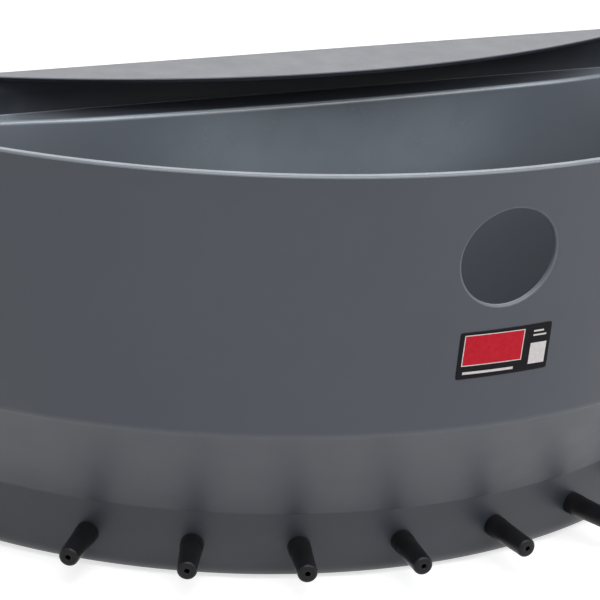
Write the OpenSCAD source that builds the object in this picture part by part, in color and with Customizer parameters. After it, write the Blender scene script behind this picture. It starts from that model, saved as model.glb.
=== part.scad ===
// Multi teat lamb feeder: a bow-fronted moulded milk tub that hangs on a pen rail by two hooks.
// Shapes are drawn about the arc centre of the front, with the front facing -Y and the base at Z = 0.
// The finished part is then moved so that its origin is on the rail, midway between the hooks.

/* [Front] */
// Height of the rim above the base
rim_z = 404; // [395:1:415]
// Radius of the front arc at the rim
rim_r = 567; // [560:1:575]
// Height of the crease above the undercut
crease_z = 165; // [155:1:175]
// Radius of the front arc at that crease
crease_r = 541; // [535:1:548]
// Height of the top of the teat band
band_z = 66; // [62:1:72]
// Radius of the front arc along the teat band
band_r = 482; // [476:1:490]
// Radius of the rounding at the foot of the tub
foot_r = 18; // [12:1:19]
// Thickness of the moulded wall
wall_t = 6; // [5:0.5:7]
// Height of the thickened lip along the rim
lip_h = 10; // [8:1:12]
// Distance that the lip stands out from the wall, inside and outside
lip_d = 2; // [1:0.5:3]
// Radius of the hand hole in the front
hand_r = 44; // [40:1:48]
// Height of the hand hole's centre
hand_z = 324; // [316:1:330]
// Distance of the hand hole's centre to the right of the middle
hand_x = -8; // [-12:1:12]

/* [Back] */
// Width of the tub between its outer side walls
tub_w = 880; // [860:2:900]
// Distance from the arc centre to the rear face of the collar
back_y = 175; // [170:1:180]
// Radius of the tub's rear corners
corner_r = 60; // [50:1:70]
// Distance of the ledge inside the back below the top of the rim
ledge_drop = 44; // [38:1:52]
// Width of the ledge at its middle
ledge_w = 36; // [32:1:40]
// Width of the ledge at its ends
ledge_end_w = 18; // [14:1:22]
// How far the deck reaches over the ledge at its middle
deck_d = 78; // [70:1:86]
// Width of the deck between its tips
deck_w = 724; // [700:2:740]
// Distance of the deck's top below the top of the rim
deck_drop = 5; // [3:1:8]

/* [Teats] */
// Number of teats
teat_count = 8; // [6:2:8]
// Distance along the band from the last teat to the end of the band
teat_end_gap = 230; // [222:1:240]
// Height of the teats' axes
teat_z = 34; // [33.5:0.5:38]
// Radius of a teat's shank at its collar
teat_base_r = 9.8; // [9:0.1:10.5]
// Radius of a teat's shank at its tip
teat_tip_r = 8.8; // [8:0.1:9]
// Length of a teat beyond its collar
teat_l = 43; // [38:1:50]
// Radius of a teat's outer collar
collar_r = 11.4; // [11:0.1:13]
// Thickness of a teat's outer collar
collar_t = 10; // [8:0.5:12]
// Radius of a teat's inner flange
teat_flange_r = 14.5; // [13:0.5:15]
// Thickness of a teat's inner flange
teat_flange_t = 4; // [3:0.5:5]
// Radius of the wall hole that a teat's neck fills
teat_hole_r = 9.6; // [9:0.1:10]
// Radius of the milk passage in a teat
teat_bore_r = 4; // [3:0.5:5]
// Radius of the hole in a teat's tip
teat_tip_hole_r = 2.2; // [1.5:0.1:2.5]

/* [Label] */
// Width of the label
label_w = 88; // [80:1:96]
// Height of the label's lower edge
label_z = 212; // [204:1:218]
// Height of the label
label_h = 48; // [40:1:56]
// Thickness of the label
label_t = 0.6; // [0.4:0.1:1]

/* [Hooks] */
// Distance of each hook from the middle
hook_x = 275; // [260:5:290]
// Width of a hook's strap
strap_w = 40; // [36:1:46]
// Thickness of a hook's strap
strap_t = 5; // [4:0.5:6]
// Inside radius of a hook's bends
bend_r = 6; // [4:0.5:8]
// Gap between a hook's plate and its leg
rail_gap = 86; // [70:1:100]
// Length of a hook's leg below its top
leg_h = 72; // [60:1:90]
// Length of a hook's plate below its top
plate_h = 160; // [150:1:165]
// Travel of a hook along its slot
hook_travel = 45; // [35:1:46]
// Gap between a hook's top and the collar above it
hook_gap = 8; // [6:0.5:12]
// Thickness of the rubber under a hook's top
hook_pad_t = 3; // [2:0.5:4]
// Distance between the two bolts of a hook
bolt_pitch = 36; // [32:1:40]
// Height of a hook's plate left below the end of its slot
slot_foot = 20; // [16:1:24]
// Radius of a bolt
bolt_r = 5; // [4:0.5:5.5]
// Radius of a bolt's domed head
bolt_head_r = 11; // [10:0.5:12]
// Height of a bolt's domed head
bolt_head_h = 5; // [4:0.5:6]
// Radius of the seal under a bolt's head
seal_r = 13; // [12:0.5:14]
// Thickness of the seal under a bolt's head
seal_t = 2.5; // [2:0.5:3]
// Radius of the washer behind a hook's plate
washer_r = 12; // [11:0.5:14]
// Thickness of that washer
washer_t = 2; // [1.5:0.5:3]
// Width of a nut across its flats
nut_w = 17; // [15:0.5:18]
// Height of a nut
nut_h = 9; // [8:0.5:10]
// Length of a bolt that stands out of its nut
bolt_end = 3; // [2:0.5:5]
// Width of the flat boss that a hook slides on
boss_w = 60; // [52:1:70]
// Distance that the boss stands behind the wall
boss_d = 6; // [5:0.5:9]

/* [Hidden] */
// Clearance of a piece that is pushed into a hole, on the radius
push_gap = 0.1;
// Clearance between a flat piece and the curved wall behind it
seat_gap = 0.4;
// Clearance between neighbouring pieces that slide past each other
slide_gap = 0.3;
// Overlap that joins solids of one moulding, and overrun of a cut
join = 1;
half_w = tub_w / 2;
straight_half = half_w - corner_r;
deck_z = rim_z - deck_drop;
ledge_z = rim_z - ledge_drop;
front_y = max(rim_r, crease_r, band_r) + 2 * wall_t;
crease_lift = wall_t * tan(atan((crease_r - band_r) / (crease_z - band_z)) / 2);
wall_slope = (rim_r - crease_r) / (rim_z - crease_z);
lower_y = back_y + ledge_w;
lower_end_y = back_y + ledge_end_w;
bow_r = bow_radius(straight_half, ledge_w - ledge_end_w);
bow_y = bow_r - lower_y;
deck_half = deck_w / 2;
deck_arc_r = bow_radius(deck_half, deck_d);
band_end_angle = acos(lower_end_y / band_r);
last_teat_angle = band_end_angle - teat_end_gap / band_r * 180 / PI;
teat_step = 2 * last_teat_angle / (teat_count - 1);
teat_seat = wall_t + seat_gap;
teat_inner = teat_seat + teat_flange_t;
hook_top_z = ledge_z - wall_t - hook_gap;
slot_r = bolt_r + slide_gap;
bolt_low_z = hook_top_z - plate_h + slot_foot + slot_r;
bolt_zs = [bolt_low_z, bolt_low_z + bolt_pitch];
boss_low_z = bolt_low_z - washer_r;
boss_high_z = hook_top_z - hook_gap;
boss_y = wall_y(hook_x) - boss_d;
pad_y = wall_y(hook_x - seal_r) + wall_t + join;
plate_y = boss_y - slide_gap;
washer_y = plate_y - strap_t - slide_gap;
nut_y = washer_y - washer_t;
hook_depth = 2 * strap_t + rail_gap;
seat_z = hook_top_z - strap_t - hook_pad_t;
rail_y = plate_y - strap_t - rail_gap / 2;
sides = [["left", -1], ["right", 1]];
pair_names = ["hook", "hook_pad", "hook_bolts", "hook_seals", "hook_washers", "hook_nuts"];
$fn = 96;

// Radius of the outer front wall above the crease at height z
function wall_r(z) = crease_r + (z - crease_z) * wall_slope;

// Radius of an arc from its half chord and its rise
function bow_radius(half, rise) = (pow(half, 2) + pow(rise, 2)) / (2 * rise);

// Distance from the arc centre to the outer back wall below the ledge, at x
function wall_y(x) = sqrt(pow(bow_r, 2) - pow(x, 2)) - bow_y;

// Angle of teat number i from the middle of the front
function teat_angle(i) = (i - (teat_count + 1) / 2) * teat_step;

// Moves a piece from the drawing frame to the part's own frame
module place() {
    translate([0, rail_y, -seat_z])
        children();
}

// A box between two distances from the arc centre
module slab(half, y_front, y_back, z_low, z_high) {
    translate([-half, -y_front, z_low])
        cube([2 * half, y_front - y_back, z_high - z_low]);
}

// Section of the tub's front below the ledge
module tub_section() {
    polygon([
        [0, 0],
        [band_r - foot_r, 0],
        [band_r - foot_r, foot_r],
        [band_r, foot_r],
        [band_r, band_z],
        [crease_r, crease_z],
        [wall_r(ledge_z - wall_t), ledge_z - wall_t],
        [0, ledge_z - wall_t]
    ]);
    translate([band_r - foot_r, foot_r])
        circle(r = foot_r);
}

// Section of the milk space below the ledge
module tub_space_section() {
    polygon([
        [0, wall_t],
        [band_r - foot_r, wall_t],
        [band_r - wall_t, foot_r],
        [band_r - wall_t, band_z + crease_lift],
        [crease_r - wall_t, crease_z + crease_lift],
        [wall_r(ledge_z) - wall_t, ledge_z],
        [0, ledge_z]
    ]);
}

// Section of the front between two heights above the crease, moved out by grow
module wall_section(z_low, z_high, grow) {
    polygon([
        [0, z_low],
        [wall_r(z_low) + grow, z_low],
        [wall_r(z_high) + grow, z_high],
        [0, z_high]
    ]);
}

// Plan of the tub's sides and back with rounded rear corners, moved out by grow
module plan(y_back, grow) {
    half = half_w + grow;
    corner = corner_r + grow;
    corner_y = -y_back - corner_r;
    translate([-half, -front_y])
        square([2 * half, front_y + corner_y]);
    translate([-straight_half, corner_y - join])
        square([2 * straight_half, corner + join]);
    for (side = [-1, 1])
        translate([side * straight_half, corner_y])
            circle(r = corner);
}

// Tub shape below the ledge: the front turned from its section, cut to the plan and the bowed back
// The plan's rear corners lie behind the ends of the bow, so that the bow runs into them
module tub_form(grow) {
    difference() {
        intersection() {
            rotate_extrude()
                children();
            linear_extrude(rim_z)
                plan(lower_end_y - wall_t, grow);
        }
        translate([0, bow_y, -join])
            cylinder(r = bow_r - grow, h = rim_z + 2 * join, $fn = 720);
    }
}

// Shape of the collar between two heights
module collar_form(z_low, z_high, grow) {
    intersection() {
        rotate_extrude()
            wall_section(z_low, z_high, grow);
        linear_extrude(rim_z)
            plan(back_y, grow);
    }
}

// Thickened lip round the front, the sides and the rear corners
module lip() {
    difference() {
        collar_form(rim_z - lip_h, rim_z, lip_d);
        collar_form(rim_z - lip_h - join, rim_z + join, -wall_t - lip_d);
        slab(deck_half, back_y + wall_t + 2 * lip_d, 0, 0, rim_z + join);
    }
}

// Deck over the ledge, with a bowed front edge
module deck() {
    intersection() {
        collar_form(deck_z - wall_t, deck_z, -join);
        translate([0, deck_arc_r - deck_d - back_y, 0])
            cylinder(r = deck_arc_r, h = rim_z, $fn = 360);
    }
}

// Moves a shape drawn along +Z on to the wall at teat number i
module at_teat(i) {
    rotate([0, 0, teat_angle(i)])
        translate([0, -band_r, teat_z])
            rotate([90, 0, 0])
                children();
}

// Moves a shape drawn along +Z, towards the front, to both bolt axes of one side
module at_bolts(side, y) {
    for (z = bolt_zs)
        translate([side * hook_x, -y, z])
            rotate([90, 0, 0])
                children();
}

// Moulded tub with its collar, lip, deck, hook bosses and holes
module tub() {
    color("dimgray")
        difference() {
            union() {
                difference() {
                    union() {
                        tub_form(0)
                            tub_section();
                        collar_form(ledge_z - wall_t, deck_z, 0);
                        for (side = [-1, 1])
                            translate([side * hook_x, 0, 0])
                                slab(boss_w / 2, lower_y, boss_y, boss_low_z, boss_high_z);
                    }
                    tub_form(-wall_t)
                        tub_space_section();
                    collar_form(ledge_z, rim_z, -wall_t);
                }
                lip();
                deck();
                for (side = [-1, 1])
                    at_bolts(side, boss_y)
                        cylinder(r = seal_r, h = pad_y - boss_y);
            }
            translate([hand_x, -wall_r(hand_z), hand_z])
                rotate([90, 0, 0])
                    cylinder(r = hand_r, h = 8 * wall_t, center = true);
            for (i = [1:teat_count])
                at_teat(i)
                    cylinder(r = teat_hole_r, h = 4 * wall_t, center = true);
            for (side = [-1, 1])
                at_bolts(side, boss_y - join)
                    cylinder(r = bolt_r + push_gap, h = pad_y - boss_y + 2 * join);
        }
}

// Label that follows the front wall
module label() {
    label_angle = asin(label_w / 2 / wall_r(label_z));
    z_top = label_z + label_h;
    inner_low = wall_r(label_z) + push_gap;
    inner_top = wall_r(z_top) + push_gap;
    color("firebrick")
        rotate([0, 0, -90 - label_angle])
            rotate_extrude(angle = 2 * label_angle)
                polygon([
                [inner_low, label_z],
                [inner_low + label_t, label_z],
                [inner_top + label_t, z_top],
                [inner_top, z_top]
            ]);
}

// Rubber teat, pushed through the wall from inside
module teat(i) {
    shank_l = teat_l - teat_tip_r;
    color("black")
        at_teat(i)
            difference() {
                union() {
                    translate([0, 0, -teat_inner])
                        cylinder(r = teat_flange_r, h = teat_flange_t);
                    translate([0, 0, -teat_seat])
                        cylinder(r = teat_hole_r - push_gap, h = teat_seat + collar_t);
                    translate([0, 0, push_gap])
                        cylinder(r = collar_r, h = collar_t - push_gap);
                    translate([0, 0, collar_t])
                        cylinder(r1 = teat_base_r, r2 = teat_tip_r, h = shank_l);
                    translate([0, 0, collar_t + shank_l])
                        sphere(r = teat_tip_r);
                }
                translate([0, 0, -teat_inner - join])
                    cylinder(r = teat_bore_r, h = teat_inner + join + collar_t + shank_l);
                translate([0, 0, collar_t])
                    cylinder(r = teat_tip_hole_r, h = teat_l + join);
            }
}

// One bend of the strap in its side outline, with its centre at the origin, in the quarter of +Y
module strap_bend(left) {
    intersection() {
        difference() {
            circle(r = bend_r + strap_t);
            circle(r = bend_r);
        }
        translate([left ? -bend_r - strap_t : 0, 0])
            square(bend_r + strap_t);
    }
}

// Side outline of a hook, from the plate at 0 back to the leg, with its top at 0
module hook_outline() {
    bend = bend_r + strap_t;
    translate([0, -plate_h])
        square([strap_t, plate_h - bend]);
    translate([bend, -strap_t])
        square([hook_depth - 2 * bend, strap_t]);
    translate([hook_depth - strap_t, -leg_h])
        square([strap_t, leg_h - bend]);
    translate([bend, -bend])
        strap_bend(true);
    translate([hook_depth - bend, -bend])
        strap_bend(false);
}

// Steel hook with the long slot that its bolts run in
module hook(side) {
    slot_high_z = bolt_zs[1] + hook_travel;
    color("silver")
        translate([side * hook_x, 0, 0])
            difference() {
                translate([-strap_w / 2, -plate_y, hook_top_z])
                    rotate([90, 0, 90])
                        linear_extrude(strap_w)
                            hook_outline();
                for (z = [bolt_low_z, slot_high_z])
                    translate([0, -plate_y - join, z])
                        rotate([-90, 0, 0])
                            cylinder(r = slot_r, h = strap_t + 2 * join);
                slab(slot_r, plate_y + join, plate_y - strap_t - join, bolt_low_z, slot_high_z);
            }
}

// Rubber pad between a hook's top and the rail
module hook_pad(side) {
    bend = bend_r + strap_t;
    color("black")
        translate([side * hook_x, 0, 0])
            slab(strap_w / 2, plate_y - bend, plate_y - hook_depth + bend, seat_z, hook_top_z - strap_t);
}

// Domed bolts through the back wall
module hook_bolts(side) {
    rear_y = nut_y - nut_h - bolt_end;
    dome_r = (pow(bolt_head_r, 2) + pow(bolt_head_h, 2)) / (2 * bolt_head_h);
    color("silver") {
        at_bolts(side, rear_y)
            cylinder(r = bolt_r, h = pad_y + seal_t + join - rear_y);
        at_bolts(side, pad_y + seal_t)
            intersection() {
                translate([0, 0, bolt_head_h - dome_r])
                    sphere(r = dome_r);
                cylinder(r = bolt_head_r, h = bolt_head_h);
            }
    }
}

// Rubber seals under the bolt heads
module hook_seals(side) {
    color("black")
        at_bolts(side, pad_y)
            difference() {
                cylinder(r = seal_r, h = seal_t);
                translate([0, 0, -join])
                    cylinder(r = bolt_r + push_gap, h = seal_t + 2 * join);
            }
}

// Washers between the hook's plate and the nuts
module hook_washers(side) {
    color("silver")
        at_bolts(side, nut_y)
            difference() {
                cylinder(r = washer_r, h = washer_t);
                translate([0, 0, -join])
                    cylinder(r = bolt_r + push_gap, h = washer_t + 2 * join);
            }
}

// Hexagon nuts
module hook_nuts(side) {
    color("silver")
        at_bolts(side, nut_y - nut_h)
            difference() {
                cylinder(r = nut_w / 2 / cos(30), h = nut_h, $fn = 6);
                translate([0, 0, -join])
                    cylinder(r = bolt_r + push_gap, h = nut_h + 2 * join);
            }
}

place() tub();
place() label();
for (i = [1:teat_count]) {
    place() teat(i);
}
for (side = sides) {
    place() hook(side[1]);
    place() hook_pad(side[1]);
    place() hook_bolts(side[1]);
    place() hook_seals(side[1]);
    place() hook_washers(side[1]);
    place() hook_nuts(side[1]);
}
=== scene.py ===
import math

import bpy
import numpy as np
from mathutils import Matrix, Vector


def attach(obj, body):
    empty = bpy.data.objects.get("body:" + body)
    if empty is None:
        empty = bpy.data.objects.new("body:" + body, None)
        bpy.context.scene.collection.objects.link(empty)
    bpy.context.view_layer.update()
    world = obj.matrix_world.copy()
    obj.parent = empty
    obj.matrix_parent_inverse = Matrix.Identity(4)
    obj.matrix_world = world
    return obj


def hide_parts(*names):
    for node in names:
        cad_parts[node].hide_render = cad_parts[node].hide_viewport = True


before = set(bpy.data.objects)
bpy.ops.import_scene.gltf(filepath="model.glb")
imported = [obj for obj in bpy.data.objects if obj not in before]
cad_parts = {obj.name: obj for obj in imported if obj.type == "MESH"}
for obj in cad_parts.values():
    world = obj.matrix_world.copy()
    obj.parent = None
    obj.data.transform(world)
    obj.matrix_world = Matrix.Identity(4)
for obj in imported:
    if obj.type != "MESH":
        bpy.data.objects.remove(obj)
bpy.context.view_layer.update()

# Sizes in millimetres, in the drawing frame of the solids: arc centre on the Z axis, base at Z = 0
RAIL_Y = 147.283
SEAT_Z = 338.0
RIM_Z, RIM_R = 404.0, 567.0
CREASE_Z, CREASE_R = 165.0, 541.0
BAND_Z, BAND_R = 66.0, 482.0
FOOT_R, WALL_T = 18.0, 6.0
HAND_R, HAND_X, HAND_Z = 44.0, -8.0, 324.0
HALF_W, CORNER_R = 440.0, 60.0
BACK_Y, LEDGE_Z = 175.0, 360.0
LOWER_Y, LOWER_END_Y = 211.0, 193.0
DECK_Z, DECK_D, DECK_HALF = 399.0, 78.0, 362.0
TEAT_COUNT, TEAT_Z, TEAT_END_GAP = 8, 34.0, 230.0
HOOK_X, BOLT_ZS = 275.0, (211.3, 247.3)
STRAIGHT_HALF = HALF_W - CORNER_R
WALL_SLOPE = (RIM_R - CREASE_R) / (RIM_Z - CREASE_Z)
UNDER_SLOPE = (CREASE_R - BAND_R) / (CREASE_Z - BAND_Z)
LIFT = WALL_T * math.tan(math.atan(UNDER_SLOPE) / 2)


def bow_radius(half, rise):
    return (half * half + rise * rise) / (2 * rise)


BOW_R = bow_radius(STRAIGHT_HALF, LOWER_Y - LOWER_END_Y)
BOW_Y = BOW_R - LOWER_Y
DECK_ARC_R = bow_radius(DECK_HALF, DECK_D)
TEAT_STEP = 2 * (math.acos(LOWER_END_Y / BAND_R) - TEAT_END_GAP / BAND_R) / (TEAT_COUNT - 1)


def wall_r(z):
    return CREASE_R + (z - CREASE_Z) * WALL_SLOPE


def to_row(points):
    points = np.asarray(points, dtype=float)
    return (points + np.array([0.0, RAIL_Y, -SEAT_Z])) / 1000.0


def smoothstep(a, b, x):
    t = np.clip((np.asarray(x, dtype=float) - a) / (b - a), 0.0, 1.0)
    return t * t * (3 - 2 * t)


# Materials


class Nodes:
    """Small helper that adds nodes to one material."""

    def __init__(self, name):
        self.material = bpy.data.materials.new(name)
        self.material.use_nodes = True
        self.tree = self.material.node_tree
        self.tree.nodes.clear()
        self.out = self.tree.nodes.new("ShaderNodeOutputMaterial")
        self.shader = self.tree.nodes.new("ShaderNodeBsdfPrincipled")
        self.link(self.shader.outputs["BSDF"], self.out.inputs["Surface"])
        self.coords = self.tree.nodes.new("ShaderNodeTexCoord").outputs["Object"]

    def link(self, a, b):
        self.tree.links.new(a, b)

    def set(self, **values):
        for name, value in values.items():
            self.shader.inputs[name.replace("_", " ")].default_value = value

    def noise(self, scale, detail=3.0, rough=0.5):
        node = self.tree.nodes.new("ShaderNodeTexNoise")
        node.inputs["Scale"].default_value = scale
        node.inputs["Detail"].default_value = detail
        node.inputs["Roughness"].default_value = rough
        self.link(self.coords, node.inputs["Vector"])
        return node.outputs["Fac"]

    def ramp(self, source, stops):
        node = self.tree.nodes.new("ShaderNodeValToRGB")
        ramp = node.color_ramp
        while len(ramp.elements) < len(stops):
            ramp.elements.new(0.5)
        for element, (place, colour) in zip(ramp.elements, stops):
            element.position = place
            element.color = (*colour, 1.0)
        self.link(source, node.inputs["Fac"])
        return node.outputs["Color"]

    def spread(self, source, low, high, start=0.3, end=0.7):
        node = self.tree.nodes.new("ShaderNodeMapRange")
        for name, value in (("From Min", start), ("From Max", end), ("To Min", low), ("To Max", high)):
            node.inputs[name].default_value = value
        self.link(source, node.inputs["Value"])
        return node.outputs["Result"]

    def mix(self, factor, a, b):
        node = self.tree.nodes.new("ShaderNodeMix")
        node.data_type = "RGBA"
        sockets = {(socket.name, socket.type): socket for socket in node.inputs}
        self.link(factor, sockets["Factor", "VALUE"])
        for name, value in (("A", a), ("B", b)):
            if isinstance(value, tuple):
                sockets[name, "RGBA"].default_value = (*value, 1.0)
            else:
                self.link(value, sockets[name, "RGBA"])
        return [socket for socket in node.outputs if socket.type == "RGBA"][0]

    def math(self, kind, a, b):
        node = self.tree.nodes.new("ShaderNodeMath")
        node.operation = kind
        for socket, value in zip(node.inputs, (a, b)):
            if isinstance(value, (int, float)):
                socket.default_value = value
            else:
                self.link(value, socket)
        return node.outputs["Value"]

    def bump(self, *layers):
        """Layers of bump, each with its height, strength and distance."""
        normal = None
        for height, strength, distance in layers:
            node = self.tree.nodes.new("ShaderNodeBump")
            node.inputs["Strength"].default_value = strength
            node.inputs["Distance"].default_value = distance
            self.link(height, node.inputs["Height"])
            if normal is not None:
                self.link(normal, node.inputs["Normal"])
            normal = node.outputs["Normal"]
        self.link(normal, self.shader.inputs["Normal"])

    def colour(self, source):
        self.link(source, self.shader.inputs["Base Color"])

    def roughness(self, source):
        self.link(source, self.shader.inputs["Roughness"])


# Tones of the moulding: place on the scale of tones, colour and roughness. Only wall is the plastic's own
# colour; the others are painted light and shade.
# foot is painted shade, undercut a painted reflection of the floor, inside painted light on the inner faces,
# pale and edge painted highlights and light
TONES = {
    "foot": (0.0, (0.016, 0.019, 0.026), 0.42),
    "wall": (0.3, (0.041, 0.0475, 0.063), 0.40),
    "undercut": (0.5, (0.082, 0.089, 0.104), 0.52),
    "inside": (0.8, (0.118, 0.135, 0.160), 0.40),
    "pale": (0.9, (0.200, 0.228, 0.262), 0.24),
    "edge": (1.0, (0.340, 0.385, 0.435), 0.24),
}
FOOT_SHADE_TONE, WALL, UNDERCUT_LIGHT_TONE, INSIDE_LIGHT_TONE, PAINTED_LIGHT_TONE, EDGE_HIGHLIGHT_TONE = (tone[0] for tone in TONES.values())
WORN_GREY = (0.066, 0.074, 0.090)
CLOUD_GREY = (0.075, 0.083, 0.098)


def moulding_material():
    n = Nodes("moulded_grey")
    broad = n.noise(scale=5.0, detail=3.0, rough=0.55)
    cloud = n.noise(scale=38.0, detail=4.0, rough=0.6)
    grain = n.noise(scale=900.0, detail=2.0, rough=0.5)
    # The tone attribute picks the wall's own colour or one of the painted light and shade tones
    tone = n.tree.nodes.new("ShaderNodeAttribute")
    tone.attribute_name = "tone"
    base = n.ramp(tone.outputs["Fac"], [(place, colour) for place, colour, rough in TONES.values()])
    rough = n.ramp(tone.outputs["Fac"], [(place, (rough,) * 3) for place, colour, rough in TONES.values()])
    worn = n.mix(n.spread(broad, low=0.0, high=0.22), base, WORN_GREY)
    n.colour(n.mix(n.spread(cloud, low=0.0, high=0.12, start=0.45, end=0.75), worn, CLOUD_GREY))
    n.roughness(n.math("ADD", rough, n.spread(cloud, low=-0.04, high=0.04)))
    n.bump((broad, 0.10, 0.004), (grain, 0.10, 0.0003))
    return n.material


def rubber_material(name, dark, light, rough_low, rough_high):
    n = Nodes(name)
    cloud = n.noise(scale=60.0, detail=4.0, rough=0.6)
    grain = n.noise(scale=1400.0, detail=2.0, rough=0.5)
    n.colour(n.ramp(cloud, [(0.3, dark), (0.72, light)]))
    n.roughness(n.spread(cloud, rough_low, rough_high))
    n.bump((grain, 0.18, 0.0003))
    n.set(Specular_IOR_Level=0.2)
    return n.material


STEEL_DARK, STEEL_LIGHT = (0.36, 0.37, 0.38), (0.56, 0.57, 0.58)
STEEL_DULL = (0.30, 0.30, 0.30)


def steel_material(name, scale, rough_low, rough_high):
    """Zinc spangle: cells of different shade and gloss under a dull cloud."""
    n = Nodes(name)
    cell = n.tree.nodes.new("ShaderNodeTexVoronoi")
    cell.inputs["Scale"].default_value = scale
    n.link(n.coords, cell.inputs["Vector"])
    shade = n.tree.nodes.new("ShaderNodeSeparateColor")
    n.link(cell.outputs["Color"], shade.inputs["Color"])
    cloud = n.noise(scale=45.0, detail=4.0, rough=0.6)
    spangle = n.ramp(shade.outputs["Red"], [(0.0, STEEL_DARK), (1.0, STEEL_LIGHT)])
    n.colour(n.mix(n.spread(cloud, low=0.0, high=0.45, start=0.4, end=0.75), spangle, STEEL_DULL))
    n.set(Metallic=0.9)
    n.roughness(n.spread(shade.outputs["Green"], rough_low, rough_high, start=0.0, end=1.0))
    n.bump((cloud, 0.08, 0.0006))
    return n.material


# Inks of the label, each from dark to light
INKS = {
    "black": ((0.008, 0.007, 0.009), (0.014, 0.013, 0.015)),
    "red": ((0.46, 0.012, 0.026), (0.54, 0.022, 0.036)),
    "pale": ((0.60, 0.56, 0.56), (0.70, 0.67, 0.67)),
}
# Plain blocks on the label: ink, then left, lower, right and upper edge from the label's middle
LABEL_BLOCKS = (
    ("pale", (-40.1, -10.1, 17.1, 19.1)),
    ("red", (-39.3, -9.3, 16.3, 18.3)),
    ("pale", (24.5, -15.5, 40.5, 4.5)),
    ("pale", (26, 11, 39, 12.6)),
    ("pale", (26, 15, 36, 16.6)),
    ("pale", (-38, -18, 10, -15.6)),
)


def label_material(centre):
    n = Nodes("label_print")
    split = n.tree.nodes.new("ShaderNodeSeparateXYZ")
    n.link(n.coords, split.inputs["Vector"])
    x, z = split.outputs["X"], split.outputs["Z"]

    def block(x0, z0, x1, z1):
        inside = n.math("GREATER_THAN", x, centre[0] + x0 / 1000)
        for kind, axis, edge in (("LESS_THAN", x, centre[0] + x1 / 1000),
                                 ("GREATER_THAN", z, centre[2] + z0 / 1000),
                                 ("LESS_THAN", z, centre[2] + z1 / 1000)):
            inside = n.math("MULTIPLY", inside, n.math(kind, axis, edge))
        return inside

    wear = n.noise(scale=260.0, detail=4.0, rough=0.6)
    inks = {name: n.ramp(wear, [(0.3, dark), (0.75, light)]) for name, (dark, light) in INKS.items()}
    colour = inks["black"]
    for ink, edges in LABEL_BLOCKS:
        colour = n.mix(block(*edges), colour, inks[ink])
    n.colour(colour)
    n.roughness(n.spread(wear, low=0.35, high=0.5))
    n.bump((wear, 0.05, 0.0002))
    n.set(Specular_IOR_Level=0.06)
    return n.material


MOULDING = moulding_material()
TEAT_RUBBER = rubber_material("teat_rubber_black", (0.004, 0.004, 0.005), (0.009, 0.009, 0.011), 0.32, 0.46)
PAD_RUBBER = rubber_material("pad_rubber_black", (0.014, 0.014, 0.014), (0.03, 0.03, 0.03), 0.6, 0.8)
STEEL = steel_material("galvanised_bar", 110.0, 0.32, 0.5)
FASTENER = steel_material("plated_fastener", 420.0, 0.25, 0.4)


# Mesh building

WELD_DISTANCE = 0.00001
SEGMENTS = 48


def solid(name, points, faces):
    mesh = bpy.data.meshes.new(name)
    mesh.from_pydata([Vector(p) for p in to_row(points)], [], faces)
    made = bpy.data.objects.new(name, mesh)
    bpy.context.scene.collection.objects.link(made)
    return made


def dress(piece, material, body, node):
    """Gives a piece its finish, parents it to the empty of the body it rides on, and hides the CAD node that
    it stands for.
    """
    for polygon in piece.data.polygons:
        polygon.use_smooth = True
    piece.data.materials.clear()
    piece.data.materials.append(material)
    weighted = piece.modifiers.new("weighted", "WEIGHTED_NORMAL")
    weighted.keep_sharp = True
    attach(piece, body)
    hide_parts(node)


class Shell:
    """Collects points in millimetres and faces, and makes one piece of them."""

    def __init__(self):
        self.points = []
        self.faces = []
        self.tone = []

    def add(self, points, tone=WALL):
        start = len(self.points)
        self.points.extend([tuple(p) for p in points])
        self.tone.extend(np.broadcast_to(tone, len(points)))
        return list(range(start, len(self.points)))

    def strip(self, lower, upper, skip=()):
        """Closed band of faces between two rings, without the skipped ones."""
        count = len(lower)
        for i in range(count):
            if i in skip:
                continue
            j = (i + 1) % count
            self.faces.append((lower[i], lower[j], upper[j], upper[i]))

    def caps(self, first, last):
        self.faces.append(tuple(reversed(first)))
        self.faces.append(tuple(last))

    def stack(self, rings, capped=False):
        ids = [self.add(ring) for ring in rings]
        for lower, upper in zip(ids, ids[1:]):
            self.strip(lower, upper)
        if capped:
            self.caps(ids[0], ids[-1])

    def piece(self, name, material, body, slot, node):
        piece = solid(name, self.points, self.faces)
        piece.data.validate()
        tone = piece.data.attributes.new("tone", "FLOAT", "POINT")
        tone.data.foreach_set("value", np.array(self.tone, dtype="f"))
        weld = piece.modifiers.new("weld", "WELD")
        weld.merge_threshold = WELD_DISTANCE
        dress(piece, material, body, node)


def rounded(points, radii, steps):
    """Polyline with its inner corners replaced by arcs."""
    points = [np.array(p, dtype=float) for p in points]
    out = [points[0]]
    for before, corner, after, radius in zip(points, points[1:], points[2:], radii):
        u = (before - corner) / np.linalg.norm(before - corner)
        v = (after - corner) / np.linalg.norm(after - corner)
        half = math.acos(float(np.clip(u @ v, -1, 1))) / 2
        reach = radius / math.tan(half)
        centre = corner + (u + v) / np.linalg.norm(u + v) * radius / math.sin(half)
        a, b = corner + u * reach - centre, corner + v * reach - centre
        sweep = math.pi - 2 * half
        for k in range(steps + 1):
            t = k / steps
            out.append(centre + (math.sin((1 - t) * sweep) * a + math.sin(t * sweep) * b) / math.sin(sweep))
    out.append(points[-1])
    return out


def turned(profile, segments=SEGMENTS):
    """Rings of a turned form along +Z from points of radius and height."""
    turns = np.linspace(0, 2 * math.pi, segments, endpoint=False)
    rings = []
    for r, h in profile:
        rings.append(np.column_stack([r * np.cos(turns), r * np.sin(turns), np.full(segments, h)]))
    return rings


def aimed(points, matrix):
    return [tuple(matrix @ Vector(p)) for p in points]


LIE_FLAT = Matrix.Rotation(math.radians(90), 4, "X")


def at_bolt(side, y, z):
    """Turns a form made along +Z to point to the front at a bolt's place."""
    return Matrix.Translation((side * HOOK_X, -y, z)) @ LIE_FLAT


# Outline of the tub at one level

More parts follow.
